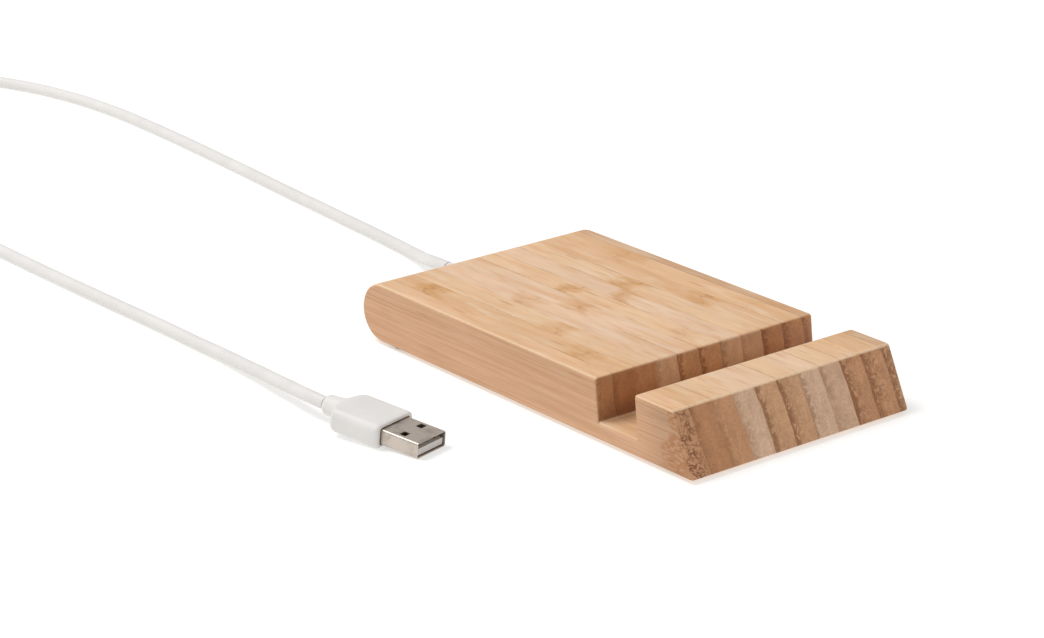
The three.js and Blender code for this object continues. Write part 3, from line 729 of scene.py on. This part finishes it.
def coil_points():
    """The coil's turns, in millimetres: a layer that winds in, and one on it that winds out."""
    points = []
    middle = COIL_TURNS / 2
    steps = round(COIL_TURNS * COIL_STEPS_PER_TURN)
    for step in range(steps + 1):
        turn = COIL_TURNS * step / steps
        angle = math.radians(90 + 360 * turn)
        inward = min(turn, COIL_TURNS - turn)
        radius = COIL_OUTER - COIL_PITCH * inward
        rise = min(max((turn - middle) / RISE_TURNS + 0.5, 0), 1)
        rise = rise * rise * (3 - 2 * rise)
        from_tie = (math.degrees(angle) - TIE_ANGLE + 180) % 360 - 180
        lift = TIE_LIFT * math.exp(-((from_tie / TIE_LIFT_SPREAD) ** 2))
        points.append((
            COIL_CENTRE[0] + radius * math.cos(angle),
            COIL_CENTRE[1] + radius * math.sin(angle),
            LOWER_LAYER + LAYER_RISE * rise + lift,
        ))
    return points


def add_cord():
    curve = bpy.data.curves.new("cord", "CURVE")
    curve.dimensions = "3D"
    curve.bevel_depth = CORD_RADIUS
    curve.bevel_resolution = 8
    curve.resolution_u = 8
    curve.use_fill_caps = True
    route = ROUTE_FROM_PAD[:-1] + coil_points() + ROUTE_TO_PLUG[1:]
    spline = curve.splines.new("BEZIER")
    spline.bezier_points.add(len(route) - 1)
    for point, place in zip(spline.bezier_points, route):
        x, y, z = place
        point.co = (x * MM, y * MM, (z + CORD_LIFT) * MM)
        point.handle_left_type = "AUTO"
        point.handle_right_type = "AUTO"
    cord = bpy.data.objects.new("cord", curve)
    bpy.context.scene.collection.objects.link(cord)
    return piece(cord, "white_cable", "cable", "cord_from_pad", "cord_coil", "cord_to_plug")


def add_tie():
    """A hook-and-loop strap round the coil's turns."""
    low, high = 0.05, 9.1
    inner, outer = 16.9, 28.6
    width = 7.0
    thickness = 0.6
    middle = (inner + outer) / 2
    height = high - low
    depth = outer - inner
    centre_z = low + height / 2
    strap = loft_along_y("coil_tie", [
        (-width / 2, depth, height, 1.9), (-width / 2 + 0.15, depth + 0.1, height, 1.95),
        (width / 2 - 0.15, depth + 0.1, height, 1.95), (width / 2, depth, height, 1.9),
    ], middle, centre_z)
    hole = loft_along_y("hole", [
        (-width, depth - 2 * thickness, height - 2 * thickness, 1.3),
        (width, depth - 2 * thickness, height - 2 * thickness, 1.3),
    ], middle, centre_z)
    carve(strap, [hole])
    smooth(strap)
    turn = Matrix.Rotation(math.radians(TIE_ANGLE), 4, "Z")
    place = Matrix.Translation((COIL_CENTRE[0] * MM, COIL_CENTRE[1] * MM, 0))
    strap.data.transform(place @ turn)
    return piece(strap, "tie_fabric", "cable", "cord_tie")


# ---- Bamboo block ------------------------------------------------------------------------------

POCKET = dict(width=58 * MM, length=76 * MM, radius=10 * MM, y=16 * MM, roof=14.8 * MM)
REBATE = dict(width=70 * MM, length=86 * MM, radius=16 * MM, ledge=3.3 * MM)

# In millimetres
FOOT_PLACES = [(-33, -62), (33, -62), (-34.5, 57.5), (34.5, 57.5)]
SCREW_PLACES = [(-32, -8), (32, -8), (-32, 40), (32, 40)]
RECESS_RADIUS = 4.3
RECESS_TOP = 1.8
PILOT_RADIUS = 1.5
PILOT_TOP = 10.5


def block_profile():
    """The side view's corners as y and z, with a full half-round at the back."""
    low, high = BLOCK_LOW, BLOCK_HIGH
    radius = (high.z - low.z) / 2
    lip_front = low.y + FRONT_SLANT
    lip_back = lip_front + LIP_DEPTH
    slot_back = lip_back + SLOT_WIDTH
    floor = high.z - SLOT_DEPTH
    arc_steps = 40
    arc = []
    for step in range(arc_steps + 1):
        angle = math.pi * (step / arc_steps - 0.5)
        y = high.y - radius + radius * math.cos(angle)
        arc.append((y, MIDDLE_Z + radius * math.sin(angle)))
    return [(low.y, low.z)] + arc + [
        (slot_back, high.z), (slot_back - SLOT_LEAN, floor), (lip_back - SLOT_LEAN, floor),
        (lip_back, high.z), (lip_front, high.z),
    ]


def add_block():
    profile = block_profile()
    rings = [[(x, y, z) for y, z in profile] for x in (BLOCK_LOW.x, BLOCK_HIGH.x)]
    block = loft("bamboo_block", rings)
    bevel(block, EDGE_RADIUS)
    below = BLOCK_LOW.z - 1 * MM
    cutters = [
        loft_upright("pocket", POCKET["width"], POCKET["length"], POCKET["radius"],
                     below, POCKET["roof"], 0, POCKET["y"]),
        loft_upright("rebate", REBATE["width"], REBATE["length"], REBATE["radius"],
                     below, REBATE["ledge"], 0, POCKET["y"]),
        loft_along_y("channel", [
            (52, 12.8, 7.4, 3.6), (70.0, 12.8, 7.4, 3.6),
            (71.6, 14.0, 8.6, 4.2), (74, 14.0, 8.6, 4.2),
        ], 0, MIDDLE_Z / MM),
    ]
    for x, y in FOOT_PLACES:
        recess = [(0, RECESS_RADIUS), (RECESS_TOP, RECESS_RADIUS)]
        cutters.append(lathe_upright("recess", recess, 48, x * MM, y * MM))
    for x, y in SCREW_PLACES:
        pilot = [(1, PILOT_RADIUS), (PILOT_TOP, PILOT_RADIUS)]
        cutters.append(lathe_upright("pilot", pilot, 24, x * MM, y * MM))
    carve(block, cutters)
    smooth(block)
    return piece(block, "bamboo", "pad", "bamboo_body")


# ---- USB-A plug --------------------------------------------------------------------------------

def add_plug_a():
    shell = loft_along_y("plug_a_shell", [
        (0.0, 11.8, 4.3, 0.55), (0.15, 12.0, 4.5, 0.6), (15.7, 12.0, 4.5, 0.6),
    ])
    bore = loft_along_y("bore", [
        (-1.0, 11.6, 4.1, 0.4), (0.0, 11.6, 4.1, 0.4),
        (0.25, 11.4, 3.9, 0.35), (17.0, 11.4, 3.9, 0.35),
    ])
    holes = [
        loft_upright("hole", 2.4 * MM, 2.1 * MM, 0.25 * MM, -4 * MM, 4 * MM, x * MM, 6.5 * MM)
        for x in (-3.5, 3.5)
    ]
    carve(shell, [bore] + holes)
    smooth(shell)

    # The grip and its strain relief are one moulding: square shoulders, then a tapering neck.
    grip = loft_along_y("plug_a_grip", [
        (12.6, 14.0, 5.4, 1.2), (12.7, 14.8, 6.2, 1.5), (13.0, 15.4, 6.7, 1.8),
        (13.6, 15.75, 6.95, 2.0), (14.4, 15.8, 7.0, 2.1), (27.6, 15.8, 7.0, 2.1),
        (28.3, 15.5, 6.95, 2.2), (28.9, 14.8, 6.9, 2.4), (29.4, 13.5, 6.85, 2.7),
        (29.8, 11.6, 6.8, 3.0), (30.1, 9.6, 6.75, 3.2), (30.4, 8.3, 6.65, 3.2),
        (30.9, 7.4, 6.5, 3.2), (31.6, 6.9, 6.35, 3.1), (32.6, 6.45, 6.15, 3.05),
        (33.6, 6.0, 5.9, 2.9), (34.3, 5.85, 5.85, 2.9), (34.9, 5.9, 5.9, 2.9),
        (35.5, 5.75, 5.75, 2.85), (36.0, 5.3, 5.3, 2.6), (36.2, 4.9, 4.9, 2.4),
        (36.3, 4.4, 4.4, 2.15),
    ])
    socket = loft_along_y("socket", [(11.0, 12.6, 5.1, 0.8), (16.0, 12.6, 5.1, 0.8)])
    carve(grip, [socket])
    smooth(grip)

    pieces = [
        piece(shell, "plug_steel", "cable", "usb_a_shell"),
        piece(grip, "white_cable", "cable", "usb_a_grip", "usb_a_strain_relief"),
    ]
    for item in pieces:
        item.data.transform(PLUG_A_FRAME)
    return pieces


# ---- USB-C plug --------------------------------------------------------------------------------

def add_plug_c():
    middle = MIDDLE_Z / MM
    grip = loft_along_y("plug_c_grip", [
        (53.95, 9.6, 4.4, 2.1), (54.2, 10.6, 5.4, 2.6), (54.9, 11.4, 6.2, 3.0),
        (72.0, 11.4, 6.2, 3.0), (74.4, 11.0, 6.0, 2.95), (75.4, 10.0, 5.5, 2.7),
        (75.8, 8.8, 4.9, 2.4),
    ], 0, middle)
    socket = loft_along_y("socket", [(53.0, 8.6, 2.8, 1.2), (57.3, 8.6, 2.8, 1.2)], 0, middle)
    carve(grip, [socket])
    smooth(grip)
    relief = lathe_along_y("plug_c_relief", [
        (76.1, 2.3), (76.2, 2.6), (77.2, 2.5), (77.3, 2.2), (77.7, 2.2), (77.8, 2.35), (78.8, 2.15),
        (79.8, 2.02), (80.8, 1.96), (81.7, 1.93),
    ], 40, 0, middle)
    smooth(relief)
    return [
        piece(grip, "white_cable", "cable", "usb_c_plug_grip"),
        piece(relief, "white_cable", "cable", "usb_c_strain_relief"),
    ]


# ---- Underside ---------------------------------------------------------------------------------

def add_feet():
    for index, (x, y) in enumerate(FOOT_PLACES):
        foot = lathe_upright(f"rubber_foot_{index + 1}", [
            (0.0, 3.4), (0.05, 3.6), (0.25, 3.85), (0.5, 3.97), (0.8, 4.0), (1.5, 4.0),
        ], 48, x * MM, y * MM)
        smooth(foot)
        piece(foot, "silicone", "pad", f"foot_{index + 1}")


# ---- Everything together -----------------------------------------------------------------------

add_camera()
cord = add_cord()
tie = add_tie()
plug_a = add_plug_a()
plug_c = add_plug_c()
on_cord = [tie, *plug_a, *plug_c, "usb_c_plug_shell", "usb_a_insulator"]
on_cord += [f"usb_a_contact_{number}" for number in range(1, 5)]
add_block()
add_feet()
add_studio()

for name, node in NODES.items():
    if not node.hide_render:
        node.data.materials.clear()
        node.data.materials.append(MATERIALS[SLOT_OF[name]])
